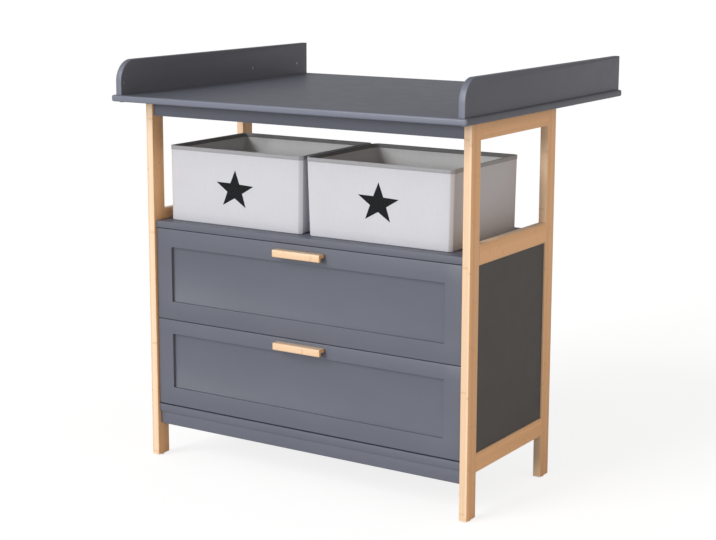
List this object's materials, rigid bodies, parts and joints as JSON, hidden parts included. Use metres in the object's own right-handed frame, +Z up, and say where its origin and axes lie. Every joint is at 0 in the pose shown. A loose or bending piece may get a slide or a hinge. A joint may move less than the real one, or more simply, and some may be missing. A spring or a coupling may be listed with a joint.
{
  "type": "changing dresser",
  "caption": "Nursery dresser on bamboo side frames with sliding drawers, a bay for fabric baskets and a deep guarded changing top.",
  "frame": {"origin": "on the floor, under the middle of the whole outline", "axes": "+Z up, -Y is the front with the drawers, +X to the right"},
  "size_m": [0.935, 0.767, 0.962],
  "materials": {
    "bamboo": "clear satin lacquer on laminated bamboo",
    "grey_paint": "satin paint on fibreboard",
    "drawer_board": "grey foil on particle board",
    "thin_board": "painted hardboard",
    "dowel_wood": "plain beech",
    "zinc_steel": "bright zinc",
    "cage_steel": "thin pressed steel",
    "glide_plastic": "moulded plastic",
    "basket_fabric": "stiffened woven fabric",
    "basket_trim": "dark woven binding",
    "basket_board": "fabric-covered board"
  },
  "bodies": {
    "case": {"back_apron": "grey_paint", "back_panel": "thin_board", "bottom_board": "grey_paint", "bracket_screws": "zinc_steel", "cam_locks": "zinc_steel", "cam_pins": "zinc_steel", "changing_top": "grey_paint", "frame_dowels": "dowel_wood", "front_apron": "grey_paint", "guard_barrel_nuts": "zinc_steel", "guard_bolts": "zinc_steel", "left_back_post": "bamboo", "left_front_post": "bamboo", "left_guard": "grey_paint", "left_lower_rail": "bamboo", "left_shelf_rail": "bamboo", "left_side_panel": "grey_paint", "left_top_rail": "bamboo", "leg_glides": "glide_plastic", "lower_case_slide_members": "zinc_steel", "plinth_rail": "grey_paint", "right_back_post": "bamboo", "right_front_post": "bamboo", "right_guard": "grey_paint", "right_lower_rail": "bamboo", "right_shelf_rail": "bamboo", "right_side_panel": "grey_paint", "right_top_rail": "bamboo", "shelf_board": "grey_paint", "slide_screws": "zinc_steel", "top_brackets": "zinc_steel", "upper_case_slide_members": "zinc_steel"},
    "upper_drawer": {"upper_drawer_back": "drawer_board", "upper_drawer_bottom": "thin_board", "upper_drawer_front": "grey_paint", "upper_drawer_handle": "bamboo", "upper_drawer_handle_screws": "zinc_steel", "upper_drawer_left_side": "drawer_board", "upper_drawer_right_side": "drawer_board", "upper_drawer_slide_members": "zinc_steel", "upper_drawer_slide_screws": "zinc_steel"},
    "upper_cages": {"upper_slide_balls": "zinc_steel", "upper_slide_cages": "cage_steel"},
    "lower_drawer": {"lower_drawer_back": "drawer_board", "lower_drawer_bottom": "thin_board", "lower_drawer_front": "grey_paint", "lower_drawer_handle": "bamboo", "lower_drawer_handle_screws": "zinc_steel", "lower_drawer_left_side": "drawer_board", "lower_drawer_right_side": "drawer_board", "lower_drawer_slide_members": "zinc_steel", "lower_drawer_slide_screws": "zinc_steel"},
    "lower_cages": {"lower_slide_balls": "zinc_steel", "lower_slide_cages": "cage_steel"},
    "left_basket": {"left_basket_base": "basket_board", "left_basket_shell": "basket_fabric", "left_basket_trim": "basket_trim"},
    "right_basket": {"right_basket_base": "basket_board", "right_basket_shell": "basket_fabric", "right_basket_trim": "basket_trim"}
  },
  "joints": [
    {"name": "upper_drawer_slide", "type": "slide", "parent": "case", "child": "upper_drawer", "axis": [0, -1, 0], "range_m": [0, 0.26]},
    {"name": "upper_cage_roll", "type": "slide", "parent": "case", "child": "upper_cages", "axis": [0, -1, 0], "range_m": [0, 0.13]},
    {"name": "lower_drawer_slide", "type": "slide", "parent": "case", "child": "lower_drawer", "axis": [0, -1, 0], "range_m": [0, 0.26]},
    {"name": "lower_cage_roll", "type": "slide", "parent": "case", "child": "lower_cages", "axis": [0, -1, 0], "range_m": [0, 0.13]},
    {"name": "left_basket_pull", "type": "slide", "parent": "case", "child": "left_basket", "axis": [0, -1, 0], "range_m": [0, 0.42]},
    {"name": "right_basket_pull", "type": "slide", "parent": "case", "child": "right_basket", "axis": [0, -1, 0], "range_m": [0, 0.42]}
  ],
  "couplings": [
    {"joint": "upper_cage_roll", "follows": "upper_drawer_slide", "ratio": 0.5},
    {"joint": "lower_cage_roll", "follows": "lower_drawer_slide", "ratio": 0.5}
  ]
}
